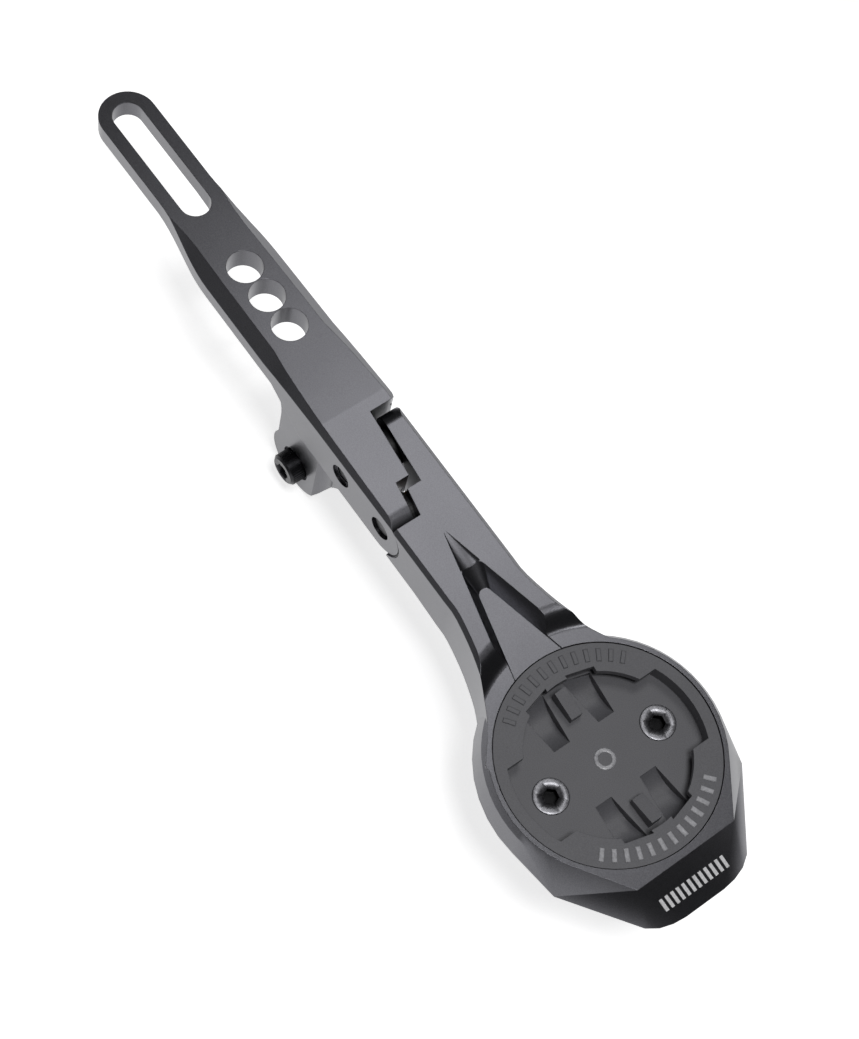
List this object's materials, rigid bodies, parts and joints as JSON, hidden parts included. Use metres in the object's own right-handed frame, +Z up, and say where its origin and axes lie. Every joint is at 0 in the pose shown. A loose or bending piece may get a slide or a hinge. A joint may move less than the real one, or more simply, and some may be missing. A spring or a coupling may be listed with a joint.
{
  "type": "out-front bicycle computer mount",
  "caption": "Slotted handlebar arm with a tilting front arm that holds a bicycle computer in a quarter-turn socket, and a forked lug below for an accessory.",
  "frame": {"origin": "middle of the quarter-turn insert's floor, on the axis the computer turns about", "axes": "+X forward, from the slotted end to the nose; +Y to the rider's left; +Z up, out of the socket"},
  "size_m": [0.1561, 0.0384, 0.0265],
  "materials": {
    "anodised_arm": "bead-blasted, hard anodised black",
    "moulded_insert": "moulded, black",
    "bright_screw": "plain stainless",
    "black_screw": "black oxide",
    "bushing_bronze": "plain",
    "acetal_washer": "black acetal, turned"
  },
  "bodies": {
    "rear": {"rear_arm": "anodised_arm", "pivot_pin": "black_screw", "pivot_washer": "acetal_washer", "lock_washer": "acetal_washer", "lug_nut": "bright_screw"},
    "front": {"front_arm": "anodised_arm", "pivot_bushing": "bushing_bronze", "quarter_turn_insert": "moulded_insert", "insert_screw_left": "bright_screw", "insert_screw_right": "bright_screw"},
    "lock": {"lock_screw": "black_screw"},
    "lug_bolt": {"lug_screw": "black_screw"}
  },
  "joints": [
    {"name": "tilt", "type": "hinge", "parent": "rear", "child": "front", "pos_m": [-0.0475, 0, 0.00035], "axis": [0, 1, 0], "range_deg": [-6, 6]},
    {"name": "lock_screw_turn", "type": "hinge", "parent": "rear", "child": "lock", "pos_m": [-0.0577, 0, 0.00035], "axis": [0, 1, 0], "range_deg": [0, 90]},
    {"name": "lug_screw_turn", "type": "hinge", "parent": "rear", "child": "lug_bolt", "pos_m": [-0.0684, 0, -0.0155], "axis": [0, 1, 0], "range_deg": [0, 90]}
  ]
}
